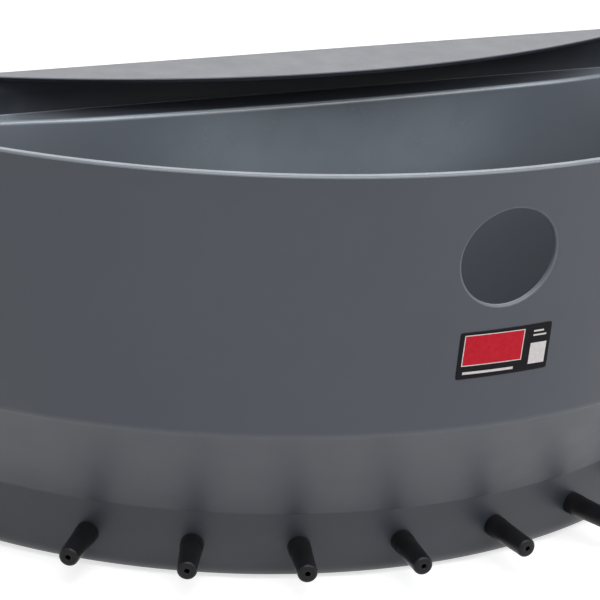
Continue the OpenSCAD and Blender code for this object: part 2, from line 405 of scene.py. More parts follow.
# The front arc has even columns at the hand hole's block, then wider ones
BLOCK, BLOCK_HALF = 6, 66.0
ARC_COUNT, SIDE_COUNT, BACK_COUNT = 26, 44, 30
ARC_END = math.radians(45)
BLOCK_ANGLE = BLOCK_HALF / wall_r(HAND_Z)
ARC_ANGLES = np.concatenate([np.linspace(0, BLOCK_ANGLE, BLOCK + 1),
                             np.linspace(BLOCK_ANGLE, ARC_END, ARC_COUNT + 1)[1:]])
# Points of the half outline from the end of the rear corner on
CORNER_POINTS = 5
REAR = np.arange(len(ARC_ANGLES) + SIDE_COUNT + BACK_COUNT) >= len(ARC_ANGLES) + SIDE_COUNT - CORNER_POINTS
CORNER_Y = {"upper": -BACK_Y - CORNER_R, "lower": WALL_T - LOWER_END_Y - CORNER_R}

# The dense outline is followed in even steps and softened, so that its corners have no kink
ARC_LEAD, ARC_LIMIT = math.radians(40), math.radians(80)
ARC_POINTS, SIDE_POINTS, TURN_POINTS, BACK_POINTS, PAST_MIDDLE = 80, 40, 60, 160, 60
HALVINGS = 50
BACK_GAP = 0.2
TRACK_STEP = 1.5
SOFT_STEPS, SOFT_WIDTH = 14, 7.0
KERNEL = np.exp(-0.5 * (np.arange(-SOFT_STEPS, SOFT_STEPS + 1) * TRACK_STEP / SOFT_WIDTH) ** 2)
KERNEL /= KERNEL.sum()

# Stretch of the straight sides over which the front's heights change to the back's
SIDE_FRONT_Y, SIDE_BACK_Y = -322.0, -256.0
# The rim dips behind the deck, between these distances from the middle
DIP_START_X, DIP_FULL_X, DIP_Z = 378.0, 352.0, 396.0
STEP_GAIN = 1.5


def back_line(x, kind, grow):
    if kind == "upper":
        return np.full_like(x, -BACK_Y + grow)
    return BOW_Y - np.sqrt((BOW_R - grow) ** 2 - x * x)


def half_plan(r, kind, grow):
    """Half outline of the tub at one level, from the middle of the front to the middle of the back."""
    corner_y = CORNER_Y[kind]
    corner, side = CORNER_R + grow, HALF_W + grow

    def inside(angle):
        x, y = r * math.sin(angle), -r * math.cos(angle)
        if y < corner_y:
            return x < side
        return x < STRAIGHT_HALF or math.hypot(x - STRAIGHT_HALF, y - corner_y) < corner

    low, high = ARC_END, ARC_LIMIT
    for _ in range(HALVINGS):
        middle = (low + high) / 2
        low, high = (middle, high) if inside(middle) else (low, middle)
    angles = np.linspace(ARC_LEAD, low, ARC_POINTS)
    arc = np.stack([r * np.sin(angles), -r * np.cos(angles)], axis=1)
    first = int(np.argmin(abs(angles - ARC_END)))
    end = arc[-1]
    line = []
    turn = 0.0
    if end[1] < corner_y:
        line = [(side, y) for y in np.linspace(end[1], corner_y, SIDE_POINTS)[1:-1]]
    else:
        turn = math.atan2(end[1] - corner_y, end[0] - STRAIGHT_HALF)
    for t in np.linspace(turn, math.pi / 2, TURN_POINTS)[1:]:
        line.append((STRAIGHT_HALF + corner * math.cos(t), corner_y + corner * math.sin(t)))
    line = np.array(line)
    line = line[line[:, 1] < back_line(line[:, 0], kind, grow) - BACK_GAP]
    x = np.linspace(line[-1, 0], 0, BACK_POINTS)[1:]
    back = np.stack([x, back_line(x, kind, grow)], axis=1)
    dense = np.concatenate([arc, line, back])
    turn_end = len(arc) + len(line) - 1
    mirrored = dense[-2:-PAST_MIDDLE:-1] * np.array([-1, 1])
    whole = np.concatenate([dense, mirrored])
    length = np.concatenate([[0], np.cumsum(np.linalg.norm(np.diff(whole, axis=0), axis=1))])
    even = np.arange(0, length[-1], TRACK_STEP)
    track = np.stack([np.interp(even, length, whole[:, k]) for k in (0, 1)], axis=1)
    soft = track.copy()
    for k in (0, 1):
        soft[SOFT_STEPS:-SOFT_STEPS, k] = np.convolve(track[:, k], KERNEL, mode="valid")
    stops = (length[first], length[turn_end], length[len(dense) - 1])
    places = np.concatenate([np.linspace(stops[0], stops[1], SIDE_COUNT + 1)[1:],
                             np.linspace(stops[1], stops[2], BACK_COUNT + 1)[1:]])
    rest = np.stack([np.interp(places, even, soft[:, k]) for k in (0, 1)], axis=1)
    rest[-1, 0] = 0.0
    front = np.stack([r * np.sin(ARC_ANGLES), -r * np.cos(ARC_ANGLES)], axis=1)
    return np.concatenate([front, rest])


def backness(points):
    """Zero at the front and one at the back, with the change on the straight sides."""
    return smoothstep(SIDE_FRONT_Y, SIDE_BACK_Y, points[:, 1])


def ring(r, z, grow, kind="lower", back_z=None, back_grow=None, dip_grow=None):
    """Closed outline at one level: the back may have its own height and offset, or dip behind the deck."""
    half = half_plan(r, kind, grow)
    behind = backness(half)
    height = np.full(len(half), float(z))
    if back_z is not None:
        turn = np.arctan2(half[:, 1] - CORNER_Y[kind], half[:, 0] - STRAIGHT_HALF)
        step = np.clip(STEP_GAIN * np.sin(np.clip(turn, 0, math.pi / 2)), 0, 1)
        step[half[:, 0] < STRAIGHT_HALF] = 1
        half = half + (half_plan(r, kind, back_grow) - half) * (behind * step)[:, None]
        height = z + (back_z - z) * behind
    if dip_grow is not None:
        fade = smoothstep(DIP_START_X, DIP_FULL_X, half[:, 0]) * REAR
        half = half + (half_plan(r, kind, dip_grow) - half) * fade[:, None]
        height = height + (np.minimum(height, DIP_Z) - height) * fade
    right = np.column_stack([half, height])
    left = right[-2:0:-1] * np.array([-1, 1, 1])
    return np.concatenate([right, left])


# Tub

# Levels of the walls at the hand hole's block: height at the front, then height and offset at the back
OUTER_LOWER = {264: (266, 0), 274: (282, 0), 284: (298, 0), 294: (314, 0), 304: (330, 0), 314: (344, 0),
               324: (354, 0)}
OUTER_UPPER = {334: (354, -2.5), 344: (354.73, -0.73), 354: (356.5, 0), 364: (366, 0), 374: (376, 0),
               384: (386, 0)}
INNER_UPPER = {384: (378, -6), 374: (361, -6), 364: (360.5, -6.13), 354: (360.13, -6.5), 344: (360, -7)}
INNER_LOWER = {334: (360, -1.5), 324: (359.4, -3.75), 314: (357.75, -5.4), 304: (355.5, -6), 294: (330, -6),
               284: (310, -6), 274: (290, -6), 264: (270, -6)}
BLOCK_LOW_Z, BLOCK_ROWS = 264.0, 13
PLAIN_LEVELS = (190, 215, 240)

# Base, creases and rim
BASE_INNER_R, BASE_EDGE = 380.0, 8.0
OUTER_FILLETS, OUTER_STEPS = (FOOT_R, 4, 5), 7
INNER_FILLETS, INNER_STEPS = (9, 8, FOOT_R - WALL_T), 6
CREASE_BAND = 4.0
RIM_FLARE, BEAD_R, BEAD_STEPS, HIGHLIGHT_BEAD_ROWS = 1.1, 2.2, 12, 8
FLARE = ((RIM_Z - 16, 0.15), (RIM_Z - 10, 0.55), (RIM_Z - 5, 0.95), (RIM_Z - 2.4, RIM_FLARE))

# The edge of the ledge bends back towards its ends
LEDGE_BEND = 4.5
BEND_START_X, BEND_FULL_X, BEND_LEAVE_X, BEND_END_X = 235.0, 330.0, 385.0, 425.0

# Tones between the named ones, all painted: highlights on the rim, the hole's edge and the crease, shade on
# the ledge under the deck, deep inside and at the back wall's ends
RIM_HIGHLIGHT_TONE = 0.825
SHADED_LEDGE_TONE = 0.35
DEEP_SHADE_TONE = 0.56
HOLE_EDGE_HIGHLIGHT_TONE = 0.7
CREASE_HIGHLIGHT = 0.12
END_SHADE = 0.05
# Where the tones change: distances from the middle, and heights
LEDGE_ENDS_X, EDGE_FADE_X, MIDDLE_LIGHT_X, END_SHADE_X = (240, 330), (300, 200), (230, 90), (220, 300)
# The third pair of distances spreads painted light over the middle of the inner back wall
DEPTH_Z = (200, 300)


def level_rings(levels, kind, grow):
    rings = []
    for z, (back_z, back_grow) in levels.items():
        rings.append(ring(wall_r(z) + grow, z, grow, kind, back_z, back_grow))
    return rings


def bend_ledge(points):
    wide = abs(points[:, 0])
    bend = smoothstep(BEND_START_X, BEND_FULL_X, wide) * smoothstep(BEND_END_X, BEND_LEAVE_X, wide)
    points[:, 1] += LEDGE_BEND * backness(points) * bend


def tub_rings():
    """Rings up the outside, over the rim and down the inside, first rows of both blocks, and tones."""
    rings = []
    outside = [(BASE_INNER_R, 0), (BAND_R, 0), (BAND_R, BAND_Z), (CREASE_R, CREASE_Z),
               (wall_r(BLOCK_LOW_Z), BLOCK_LOW_Z)]
    profile = rounded(outside, OUTER_FILLETS, OUTER_STEPS)[1:-1]
    below = CREASE_Z - CREASE_BAND
    profile.insert(-OUTER_STEPS - 1, np.array([CREASE_R + (below - CREASE_Z) * UNDER_SLOPE, below]))
    for r, z in profile:
        tuck = BASE_EDGE - math.sqrt(max(BASE_EDGE ** 2 - max(BASE_EDGE - z, 0) ** 2, 0))
        rings.append(ring(r, z, -tuck))
    for z in (CREASE_Z + CREASE_BAND, *PLAIN_LEVELS):
        rings.append(ring(wall_r(z), z, 0))
    outer_row = len(rings)
    rings += level_rings(OUTER_LOWER, "lower", 0)
    rings += level_rings(OUTER_UPPER, "upper", 0)
    for z, out in FLARE:
        rings.append(ring(wall_r(z) + out, z, out, "upper", dip_grow=0))
    # The first rows of the rim's bead carry a painted highlight
    bead_rows = range(len(rings), len(rings) + HIGHLIGHT_BEAD_ROWS)
    for k in range(BEAD_STEPS + 1):
        turn = math.pi * k / BEAD_STEPS
        side = np.sign(BEAD_STEPS / 2 - k)
        offset = -WALL_T / 2 + side * (WALL_T / 2 + RIM_FLARE - BEAD_R) + BEAD_R * math.cos(turn)
        z = RIM_Z - BEAD_R + BEAD_R * math.sin(turn)
        rings.append(ring(wall_r(RIM_Z) + offset, z, offset, "upper", dip_grow=(side - 1) * WALL_T / 2))
    for z, out in reversed(FLARE):
        rings.append(ring(wall_r(z) - WALL_T - out, z, -WALL_T - out, "upper", dip_grow=-WALL_T))
    inner_row = len(rings)
    rings += level_rings(INNER_UPPER, "upper", -WALL_T)
    ledge_row = len(rings) + 1
    for points, (back_z, back_grow) in zip(level_rings(INNER_LOWER, "lower", -WALL_T), INNER_LOWER.values()):
        if back_z > LEDGE_Z - WALL_T:
            bend_ledge(points)
        rings.append(points)
    for z in reversed(PLAIN_LEVELS):
        rings.append(ring(wall_r(z) - WALL_T, z, -WALL_T))
    inside = [(wall_r(BLOCK_LOW_Z) - WALL_T, BLOCK_LOW_Z), (CREASE_R - WALL_T, CREASE_Z + LIFT),
              (BAND_R - WALL_T, BAND_Z + LIFT), (BAND_R - WALL_T, WALL_T), (BASE_INNER_R, WALL_T)]
    for r, z in rounded(inside, INNER_FILLETS, INNER_STEPS)[1:-1]:
        rings.append(ring(r, z, -WALL_T))
    tones = [tub_tone(k, points, bead_rows, inner_row, ledge_row) for k, points in enumerate(rings)]
    return rings, (outer_row, inner_row), tones


def tub_tone(k, points, bead_rows, inner_row, ledge_row):
    """Tone of one ring: painted highlights on the rim, the crease and the ledge's edge, painted shade on the
    band below the undercut, under the deck and deep inside, painted light on the undercut and the inner
    faces.
    """
    wide, behind, z = abs(points[:, 0]), backness(points), points[:, 2]
    if k in bead_rows:
        return RIM_HIGHLIGHT_TONE
    if k < inner_row:
        # Outside: painted shade on the band below the undercut, painted light on the undercut, a painted
        # highlight along the crease
        above_band = smoothstep(BAND_Z - 1.5, BAND_Z + 1.5, z)
        foot = (FOOT_SHADE_TONE - WALL) * (1 - above_band)
        under = (UNDERCUT_LIGHT_TONE - WALL) * above_band * smoothstep(CREASE_Z + 3, CREASE_Z - 2, z)
        crease = CREASE_HIGHLIGHT * smoothstep(CREASE_Z - 3, CREASE_Z, z) * smoothstep(CREASE_Z + 3, CREASE_Z, z)
        return WALL + (foot + under + crease) * (1 - behind)
    if k < ledge_row:
        # Under the deck: painted shade on the recess wall and the ledge, painted light on the ledge's
        # unshaded ends
        on_ledge = z < LEDGE_Z + 1
        ends = smoothstep(*LEDGE_ENDS_X, wide) * on_ledge
        shade = INSIDE_LIGHT_TONE - SHADED_LEDGE_TONE * on_ledge
        return INSIDE_LIGHT_TONE - shade * behind * (1 - ends) + (PAINTED_LIGHT_TONE - INSIDE_LIGHT_TONE) * behind * ends
    if k < ledge_row + 2:
        # Edge of the ledge: painted highlight, strongest towards the middle
        return INSIDE_LIGHT_TONE + behind * (PAINTED_LIGHT_TONE - INSIDE_LIGHT_TONE + (EDGE_HIGHLIGHT_TONE - PAINTED_LIGHT_TONE) * smoothstep(*EDGE_FADE_X, wide))
    # Inner faces: painted light, with painted shade deeper down and at the back's ends and more painted
    # light over the back wall's middle
    depth = DEEP_SHADE_TONE + (INSIDE_LIGHT_TONE - DEEP_SHADE_TONE) * smoothstep(*DEPTH_Z, z)
    middle_light = (PAINTED_LIGHT_TONE - INSIDE_LIGHT_TONE) * smoothstep(*MIDDLE_LIGHT_X, wide)
    return depth + behind * (middle_light - END_SHADE * smoothstep(*END_SHADE_X, wide))


HOLE_EDGE, HOLE_EDGE_STEPS = 2.4, 4


def hole_patch(shell, ids, row, inner):
    """Fills the block of faces round the hand hole with loops that end on the hole's rounded edge."""
    count = len(ids[0])
    offset = -WALL_T if inner else 0.0
    block_rows = ids[row:row + BLOCK_ROWS]
    if inner:
        block_rows = block_rows[::-1]
    columns = [i % count for i in range(-BLOCK, BLOCK + 1)]
    border = [block_rows[0][i] for i in columns]
    border += [line[columns[-1]] for line in block_rows[1:]]
    border += [block_rows[-1][i] for i in reversed(columns[:-1])]
    border += [line[columns[0]] for line in reversed(block_rows[1:-1])]
    flat = np.array([(shell.points[i][0], shell.points[i][2]) for i in border])
    angle = np.arctan2(flat[:, 1] - HAND_Z, flat[:, 0] - HAND_X)
    outward = np.stack([np.cos(angle), np.sin(angle)], axis=1)

    def on_wall(place):
        x, z = place[:, 0], place[:, 1]
        return np.column_stack([x, -np.sqrt((wall_r(z) + offset) ** 2 - x * x), z])

    def circle(radius):
        return outward * radius + np.array([HAND_X, HAND_Z])

    loops = []
    for t in (0.3, 0.6, 0.85, 1.0):
        place = flat + (circle(HAND_R + HOLE_EDGE) - flat) * t
        loops.append(shell.add(on_wall(place), INSIDE_LIGHT_TONE if inner else WALL))
    # The hole's rounded edge carries a painted highlight outside; inside it keeps the inner face's painted
    # light
    for k in range(1, HOLE_EDGE_STEPS + 1):
        turn = math.pi / 2 * k / HOLE_EDGE_STEPS
        points = on_wall(circle(HAND_R + HOLE_EDGE * (1 - math.sin(turn))))
        points[:, 1] += (-1 if inner else 1) * HOLE_EDGE * (1 - math.cos(turn))
        loops.append(shell.add(points, INSIDE_LIGHT_TONE if inner else HOLE_EDGE_HIGHLIGHT_TONE))
    previous = border
    for loop in loops:
        if inner:
            shell.strip(loop, previous)
        else:
            shell.strip(previous, loop)
        previous = loop
    return previous


DECK_TIP, DECK_COLUMNS = 4.0, 91
DECK_NOSE, DECK_UNDERCUT = 1.0, 7.0
NOSE_POINTS, NOSE_TURN = 6, math.radians(25)
# Rear edge of the deck: distance in front of the back wall's face, and depth below the deck's face
DECK_REAR = ((0.3, 4.0), (0.02, 3.0), (0.4, 1.4), (1.4, 0.35), (3.0, 0.0))


def add_deck(shell):
    """Deck along the back, with a rounded rear edge and a thin undercut front edge."""
    rings = []
    low, top = DECK_Z - WALL_T, DECK_Z
    for x in np.linspace(-DECK_HALF + DECK_TIP, DECK_HALF - DECK_TIP, DECK_COLUMNS):
        front = -(BACK_Y + DECK_D) + DECK_ARC_R - math.sqrt(DECK_ARC_R ** 2 - x * x)
        deep = -BACK_Y - 1 - front
        nose, under = min(DECK_NOSE, deep / 4), min(DECK_UNDERCUT, deep / 2)
        section = [(-BACK_Y - ahead, top - drop) for ahead, drop in DECK_REAR]
        rear = section[-1][0]
        for t in np.linspace(0.2, 0.9, 8):
            section.append((rear + (front + nose - rear) * t, top))
        for k in range(NOSE_POINTS):
            turn = NOSE_TURN * k
            section.append((front + nose - nose * math.sin(turn), top - nose + nose * math.cos(turn)))
        section += [(front + under * 0.55, low + 1.5), (front + under, low), (-BACK_Y - 2, low)]
        rings.append([(x, y, z) for y, z in section])
    shell.stack(rings, capped=True)


BOSS_Y, BOSS_Z = 195.58, 268.65
BOSS_HALF_W, BOSS_HALF_H, BOSS_CORNER, BOSS_STEPS = 30.0, 69.35, 6.0, 6
# Inset and depth of the boss's rounded edge, from the wall to its face
BOSS_EDGE = ((0, 9.0), (0, 2.2), (0.3, 1.2), (0.9, 0.4), (2.0, 0.03))


def add_boss(shell, side):
    """Flat pad behind the wall that a hook slides on, with rounded edges."""
    rings = []
    for inset, deep in BOSS_EDGE:
        radius = BOSS_CORNER - inset
        outline = []
        for across, up, start in ((1, 1, 0), (-1, 1, 90), (-1, -1, 180), (1, -1, 270)):
            for k in range(BOSS_STEPS + 1):
                turn = math.radians(start + 90 * k / BOSS_STEPS)
                x = side * HOOK_X + across * (BOSS_HALF_W - BOSS_CORNER) + radius * math.cos(turn)
                z = BOSS_Z + up * (BOSS_HALF_H - BOSS_CORNER) + radius * math.sin(turn)
                outline.append((x, -BOSS_Y - deep, z))
        rings.append(outline[::-1])
    shell.stack(rings, capped=True)


# Round pads inside the wall that the bolt heads' seals lie on: radius and height
BOLT_PAD_Y, BOLT_PAD_SEGMENTS = 202.83, 40
BOLT_PAD = ((13, 0), (13, 5.7), (12.6, 6.3), (11.9, 6.6), (4.8, 6.62))


def make_tub():
    shell = Shell()
    rings, (outer_row, inner_row), tones = tub_rings()
    ids = [shell.add(points, tone) for points, tone in zip(rings, tones)]
    count = len(ids[0])
    block = {i % count for i in range(-BLOCK, BLOCK)}
    for k, (lower, upper) in enumerate(zip(ids, ids[1:])):
        in_block = any(row <= k < row + BLOCK_ROWS - 1 for row in (outer_row, inner_row))
        shell.strip(lower, upper, block if in_block else ())
    shell.caps(ids[0], ids[-1])
    outer = hole_patch(shell, ids, outer_row, inner=False)
    inner = hole_patch(shell, ids, inner_row, inner=True)
    shell.strip(outer, inner)
    add_deck(shell)
    for side in (-1, 1):
        add_boss(shell, side)
        for z in BOLT_ZS:
            matrix = at_bolt(side, BOLT_PAD_Y, z)
            pad = turned(BOLT_PAD, BOLT_PAD_SEGMENTS)
            shell.stack([aimed(points, matrix) for points in pad], capped=True)
    shell.piece("tub_moulding", MOULDING, "tub", "moulding", "tub")


make_tub()


# Label

LABEL_TURN = math.radians(0.7)
LABEL_Z, LABEL_HALF_W, LABEL_HALF_H, LABEL_CORNER = 236.0, 43.8, 21.9, 1.4
LABEL_COLUMNS, LABEL_LINES = 36, 14
# Lift off the wall and inset of the label's back, edge and face
LABEL_LAYERS = ((0.12, 0.0), (0.55, 0.0), (0.68, 0.35))


def label_point(u, v, lift, inset):
    """Point of the label at u and v from -1 to 1: rounded corners, turned a little, laid on the wall."""
    x = u * (LABEL_HALF_W - inset)
    z = v * (LABEL_HALF_H - inset)
    over_x = abs(x) - (LABEL_HALF_W - LABEL_CORNER)
    over_z = abs(z) - (LABEL_HALF_H - LABEL_CORNER)
    if over_x > 0 and over_z > 0:
        far = max(over_x, over_z) / math.hypot(over_x, over_z)
        x = math.copysign(LABEL_HALF_W - LABEL_CORNER + over_x * far, x)
        z = math.copysign(LABEL_HALF_H - LABEL_CORNER + over_z * far, z)
    x, z = x - LABEL_TURN * z, LABEL_Z + z + LABEL_TURN * x
    r = wall_r(z) + lift
    return x, -math.sqrt(r * r - x * x), z


def make_label():
    shell = Shell()
    across = np.linspace(-1, 1, LABEL_COLUMNS + 1)
    up = np.linspace(-1, 1, LABEL_LINES + 1)
    grids = []
    for lift, inset in LABEL_LAYERS:
        grids.append(shell.add([label_point(u, v, lift, inset) for v in up for u in across]))
    wide = LABEL_COLUMNS + 1
    edge = list(range(wide))
    edge += [j * wide + LABEL_COLUMNS for j in range(1, LABEL_LINES + 1)]
    edge += [LABEL_LINES * wide + i for i in range(LABEL_COLUMNS - 1, -1, -1)]
    edge += [j * wide for j in range(LABEL_LINES - 1, 0, -1)]
    for lower, upper in zip(grids, grids[1:]):
        shell.strip([lower[i] for i in edge], [upper[i] for i in edge])
    for j in range(LABEL_LINES):
        for i in range(LABEL_COLUMNS):
            a = j * wide + i
            quad = (a, a + 1, a + 1 + wide, a + wide)
            shell.faces.append(tuple(grids[-1][k] for k in quad))
            shell.faces.append(tuple(grids[0][k] for k in reversed(quad)))
    centre = to_row([(0, -wall_r(LABEL_Z), LABEL_Z)])[0]
    shell.piece("label_plate", label_material(centre), "tub", "label", "label")


make_label()


# Teats

# Outline of a teat: radius, distance from the face of the wall, and rounding of that corner
TEAT_LINE = (
    (4.0, -10.4, 0), (14.5, -10.4, 0.6), (14.5, -6.5, 1.2), (9.5, -6.4, 0.4), (9.5, 0.2, 0.3),
    (10.4, 0.2, 0.6), (10.3, 9.0, 4.0), (9.8, 13.0, 4.0), (8.9, 44.2, 1.0), (8.9, 53.0, 3.4),
    (2.2, 53.0, 1.0), (2.2, 46.0, 0),
)
TEAT_BORE = ((4.0, 45.0), (4.0, -10.4))
TEAT_STEPS = 5


def make_teat(number):
    shell = Shell()
    angle = (number - (TEAT_COUNT + 1) / 2) * TEAT_STEP
    matrix = Matrix.Rotation(angle, 4, "Z") @ Matrix.Translation((0, -BAND_R, TEAT_Z)) @ LIE_FLAT
    corners = [(r, h) for r, h, radius in TEAT_LINE]
    profile = rounded(corners, [radius for r, h, radius in TEAT_LINE[1:-1]], TEAT_STEPS)
    profile.extend(TEAT_BORE)
    shell.stack([aimed(points, matrix) for points in turned(profile)])
    shell.piece("teat_rubber_%d" % number, TEAT_RUBBER, "tub", "teat_rubber", "teat_%d" % number)


for number in range(1, TEAT_COUNT + 1):
    make_teat(number)


# Hooks and their fasteners

PLATE_Y, HOOK_TOP_Z, STRAP_W, STRAP_T, BEND_R = 195.283, 346.0, 40.0, 5.0, 6.0
HOOK_DEPTH, PLATE_H, LEG_H, BEND_STEPS = 96.0, 160.0, 72.0, 10
SLIDE = 45.0
SLOT_R, SLOT_HIGH_Z, SLOT_STEPS, SLOT_PAST = 5.3, BOLT_ZS[1] + SLIDE, 24, 3.0
EDGE_BEVEL, BEVEL_STEPS, BEVEL_ANGLE = 0.0009, 3, math.radians(50)
SEAL_Y, NUT_Y = 209.454, 187.983
SLACK = 0.02


def prism(name, outline, axis, low, high):
    """Prism over a closed outline, along X or Y."""
    place = {"X": lambda a, b, t: (t, a, b), "Y": lambda a, b, t: (a, t, b)}[axis]
    points = [place(a, b, t) for t in (low, high) for a, b in outline]
    count = len(outline)
    faces = [tuple(range(count)), tuple(range(2 * count - 1, count - 1, -1))]
    faces += [(i, count + i, count + (i + 1) % count, (i + 1) % count) for i in range(count)]
    return solid(name, points, faces)


def applied(piece):
    """Gives a piece the mesh that its modifiers make."""
    shape = bpy.data.meshes.new_from_object(piece.evaluated_get(bpy.context.evaluated_depsgraph_get()))
    piece.modifiers.clear()
    piece.data = shape


def make_hook(name, side):
    """Bent flat bar with a slot in its plate and small bevels on its edges."""
    front, back = -PLATE_Y, -PLATE_Y + HOOK_DEPTH
    top, plate_end, leg_end = HOOK_TOP_Z, HOOK_TOP_Z - PLATE_H, HOOK_TOP_Z - LEG_H
    outer = rounded([(front, plate_end), (front, top), (back, top), (back, leg_end)],
                    [BEND_R + STRAP_T] * 2, BEND_STEPS)
    front, back, top = front + STRAP_T, back - STRAP_T, top - STRAP_T
    inner = rounded([(back, leg_end), (back, top), (front, top), (front, plate_end)],
                    [BEND_R] * 2, BEND_STEPS)
    x = side * HOOK_X
    piece = prism(name, [tuple(p) for p in outer + inner], "X", x - STRAP_W / 2, x + STRAP_W / 2)
    slot = []
    for k in range(SLOT_STEPS + 1):
        turn = math.pi * k / SLOT_STEPS
        slot.append((x + SLOT_R * math.cos(turn), SLOT_HIGH_Z + SLOT_R * math.sin(turn)))
    slot += [(2 * x - a, SLOT_HIGH_Z + BOLT_ZS[0] - b) for a, b in slot]
    cutter = prism("slot_cutter", slot, "Y", -PLATE_Y - SLOT_PAST, -PLATE_Y + STRAP_T + SLOT_PAST)
    cut = piece.modifiers.new("slot", "BOOLEAN")
    cut.operation = "DIFFERENCE"
    cut.object = cutter
    cut.solver = "EXACT"
    corners = piece.modifiers.new("edges", "BEVEL")
    corners.width = EDGE_BEVEL
    corners.segments = BEVEL_STEPS
    corners.limit_method = "ANGLE"
    corners.angle_limit = BEVEL_ANGLE
    applied(piece)
    bpy.data.objects.remove(cutter)
    return piece


PAD_T, PAD_RIBS, PAD_EDGE = 3.0, 9, 0.6
GROOVE_TOP, GROOVE_FLOOR, GROOVE_DEEP, PAD_FACE = 1.3, 0.7, 1.0, 0.9
# Places along the pad's width and how far its lower face is lifted there
PAD_ENDS = ((-20, 0.5), (-19.5, 0), (19.5, 0), (20, 0.5))


def make_pad(side):
    """Rubber pad with cross grooves in the face that rests on the rail."""
    shell = Shell()
    low, high = HOOK_TOP_Z - STRAP_T - PAD_T, HOOK_TOP_Z - STRAP_T - SLACK
    start, end = -PLATE_Y + BEND_R + STRAP_T, -PLATE_Y + HOOK_DEPTH - BEND_R - STRAP_T
    line = [(start + SLACK, high), (start + SLACK, low + PAD_EDGE), (start + PAD_EDGE, low)]
    for k in range(1, PAD_RIBS):
        y = start + k * (end - start) / PAD_RIBS
        line += [(y - GROOVE_TOP, low), (y - GROOVE_FLOOR, low + GROOVE_DEEP),
                 (y + GROOVE_FLOOR, low + GROOVE_DEEP), (y + GROOVE_TOP, low)]
    line += [(end - PAD_EDGE, low), (end - SLACK, low + PAD_EDGE), (end - SLACK, high)]
    rings = []
    for x, inset in PAD_ENDS:
        rings.append([(side * HOOK_X + x, y, z + inset * (z < low + PAD_FACE)) for y, z in line])
    shell.stack(rings, capped=True)
    return shell


def turned_shell(profile, side, y):
    """The same turned form at both bolts of a hook."""
    shell = Shell()
    for z in BOLT_ZS:
        matrix = at_bolt(side, y, z)
        shell.stack([aimed(points, matrix) for points in turned(profile)])
    return shell


def flat_ring(bore, radius, thickness, edge, steps):
    """Closed profile of a washer or seal with rounded outer edges."""
    top = thickness - SLACK
    line = rounded([(bore, SLACK), (radius, SLACK), (radius, top), (bore, top)], [edge, edge], steps)
    return line + [line[0]]


NUT_H, NUT_HALF_FLATS, NUT_TURN = 9.0, 8.5, 5.0
# Rings of a nut: radius, height, and whether the hexagon trims it
NUT_RINGS = (
    (5.1, 0.9, False), (6.0, 0.05, False), (8.3, 0.05, True), (8.9, 0.6, True), (9.5, 1.15, True),
    (9.9, 1.6, True), (9.9, 7.4, True), (9.5, 7.85, True), (8.9, 8.4, True), (8.3, 8.95, True),
    (6.0, 8.95, False), (5.1, 8.1, False), (5.1, 0.9, False),
)


def make_nuts(side):
    """Hexagon nuts with turned chamfers on both ends."""
    shell = Shell()
    turns = np.radians(np.arange(0, 360, NUT_TURN))
    away = (turns + math.pi / 6) % (math.pi / 3) - math.pi / 6
    hexagon = NUT_HALF_FLATS / np.cos(math.pi / 6 - abs(away))
    for z in BOLT_ZS:
        matrix = at_bolt(side, NUT_Y - NUT_H, z)
        rings = []
        for r, h, trimmed in NUT_RINGS:
            reach = np.minimum(hexagon, r) if trimmed else np.full(len(turns), r)
            points = np.column_stack([reach * np.cos(turns), reach * np.sin(turns), np.full(len(turns), h)])
            rings.append(aimed(points, matrix))
        shell.stack(rings)
    return shell


BOLT_R, BOLT_ROOT_R, BOLT_END_R, BOLT_CHAMFER = 4.97, 4.5, 3.8, 0.7
BOLT_PAST_NUT = NUT_H + 3.0
THREAD_START, THREAD_PITCH, THREAD_TURNS, THREAD_END = 1.0, 1.25, 10, 14.6
# One turn of the thread: radius and height
THREAD_FORM = ((BOLT_ROOT_R, 0.0), (BOLT_R, 0.45), (BOLT_R, 0.75), (BOLT_ROOT_R, 1.2))
HEAD_R, HEAD_H, DOME_R, DOME_STEPS = 10.8, 5.0, 14.6, 9
HEAD_UNDER_R, HEAD_RIM_R, HEAD_RIM_H = 10.4, 10.85, 0.3
SEAL_T = 2.5


def bolt_profile():
    """Bolt from its threaded end to its domed head: radius and height."""
    line = [(0.0, 0.0), (BOLT_END_R, 0.0), (BOLT_ROOT_R, BOLT_CHAMFER)]
    for k in range(THREAD_TURNS):
        h = THREAD_START + THREAD_PITCH * k
        line += [(r, h + rise) for r, rise in THREAD_FORM]
    head = SEAL_Y + SEAL_T - (NUT_Y - BOLT_PAST_NUT)
    line += [(BOLT_R, THREAD_END), (BOLT_R, head + SLACK), (HEAD_UNDER_R, head + SLACK),
             (HEAD_RIM_R, head + HEAD_RIM_H)]
    for k in range(1, DOME_STEPS + 1):
        r = HEAD_R * (1 - k / DOME_STEPS)
        line.append((r, head + HEAD_H - DOME_R + math.sqrt(DOME_R * DOME_R - r * r) - SLACK))
    return line


WASHER = flat_ring(bore=5.2, radius=12.0, thickness=2.0, edge=0.5, steps=4)
SEAL = flat_ring(bore=5.2, radius=13.0, thickness=SEAL_T, edge=1.1, steps=5)

